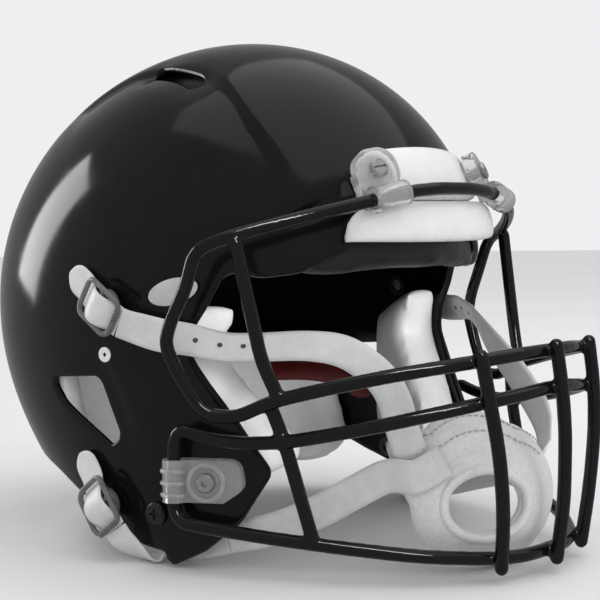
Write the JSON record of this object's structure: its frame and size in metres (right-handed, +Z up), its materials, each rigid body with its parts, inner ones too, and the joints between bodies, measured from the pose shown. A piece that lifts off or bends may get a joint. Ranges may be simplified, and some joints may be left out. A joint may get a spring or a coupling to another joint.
{
  "type": "american football helmet",
  "caption": "Gloss black football helmet with a wire facemask, padded liner, white front bumper and a four-point chinstrap with an open-centred chin cup.",
  "frame": {"origin": "bottom centre of the bounding box, level with the tips of the jaw flaps", "axes": "+Z up to the crown, -Y out of the face opening, +X to the wearer's left"},
  "size_m": [0.2514, 0.3479, 0.256],
  "materials": {
    "shell_gloss": "gloss",
    "mask_coating": "gloss vinyl dip",
    "bumper_white": "satin",
    "bumper_vinyl": "satin",
    "liner_black": "matte vinyl",
    "liner_white": "satin vinyl",
    "hardware_steel": "satin",
    "screw_black": "gloss",
    "clip_clear": "clear",
    "socket_black": "matte",
    "valve_white": "matte",
    "buckle_grey": "satin",
    "strap_vinyl": "satin",
    "cup_fabric": "knit",
    "cup_lining": "knit"
  },
  "bodies": {
    "helmet": {"back_pad": "liner_black", "crown_pad": "liner_black", "facemask_centre_upright": "mask_coating", "facemask_eye_loop": "mask_coating", "facemask_eye_strut_left": "mask_coating", "facemask_eye_strut_right": "mask_coating", "facemask_front_upright_left": "mask_coating", "facemask_front_upright_right": "mask_coating", "facemask_lower_loop": "mask_coating", "facemask_side_strut_left": "mask_coating", "facemask_side_strut_right": "mask_coating", "front_bumper_plate": "bumper_white", "front_bumper_roll": "bumper_vinyl", "front_pad": "liner_black", "inflation_valve_left": "valve_white", "inflation_valve_right": "valve_white", "jaw_nuts": "hardware_steel", "jaw_pad_left": "liner_white", "jaw_pad_right": "liner_white", "jaw_screws": "screw_black", "lower_strap_left": "strap_vinyl", "lower_strap_right": "strap_vinyl", "neck_pad": "liner_white", "shell": "shell_gloss", "side_clip_left": "clip_clear", "side_clip_right": "clip_clear", "side_clip_sockets": "socket_black", "side_pad_left": "liner_black", "side_pad_right": "liner_black", "snap_nuts": "hardware_steel", "snap_studs": "hardware_steel", "top_clip_left": "clip_clear", "top_clip_nuts": "hardware_steel", "top_clip_right": "clip_clear", "top_clip_screws": "hardware_steel", "upper_strap_left": "strap_vinyl", "upper_strap_right": "strap_vinyl"},
    "release_pin_right": {"release_pin_right": "hardware_steel"},
    "release_pin_left": {"release_pin_left": "hardware_steel"},
    "chin_cup": {"chin_cup": "cup_fabric", "chin_cup_lining": "cup_lining"},
    "snap_upper_right": {"buckle_upper_right": "buckle_grey", "strap_tail_upper_right": "strap_vinyl"},
    "snap_upper_left": {"buckle_upper_left": "buckle_grey", "strap_tail_upper_left": "strap_vinyl"},
    "snap_lower_right": {"buckle_lower_right": "buckle_grey", "strap_tail_lower_right": "strap_vinyl"},
    "snap_lower_left": {"buckle_lower_left": "buckle_grey", "strap_tail_lower_left": "strap_vinyl"}
  },
  "joints": [
    {"name": "release_pin_right_press", "type": "slide", "parent": "helmet", "child": "release_pin_right", "axis": [0.8752, 0.4837, 0], "range_m": [0, 0.002], "stiffness_N_per_m": 300},
    {"name": "release_pin_left_press", "type": "slide", "parent": "helmet", "child": "release_pin_left", "axis": [-0.8752, 0.4837, 0], "range_m": [0, 0.002], "stiffness_N_per_m": 300},
    {"name": "snap_upper_right_pull", "type": "slide", "parent": "helmet", "child": "snap_upper_right", "axis": [-1, 0, 0], "range_m": [0, 0.008]},
    {"name": "snap_upper_left_pull", "type": "slide", "parent": "helmet", "child": "snap_upper_left", "axis": [1, 0, 0], "range_m": [0, 0.008]},
    {"name": "snap_lower_right_pull", "type": "slide", "parent": "helmet", "child": "snap_lower_right", "axis": [-1, 0, 0], "range_m": [0, 0.008]},
    {"name": "snap_lower_left_pull", "type": "slide", "parent": "helmet", "child": "snap_lower_left", "axis": [1, 0, 0], "range_m": [0, 0.008]},
    {"name": "chin_cup_tilt", "type": "hinge", "parent": "helmet", "child": "chin_cup", "pos_m": [0, -0.118, 0.05], "axis": [1, 0, 0], "range_deg": [-6, 5]}
  ]
}
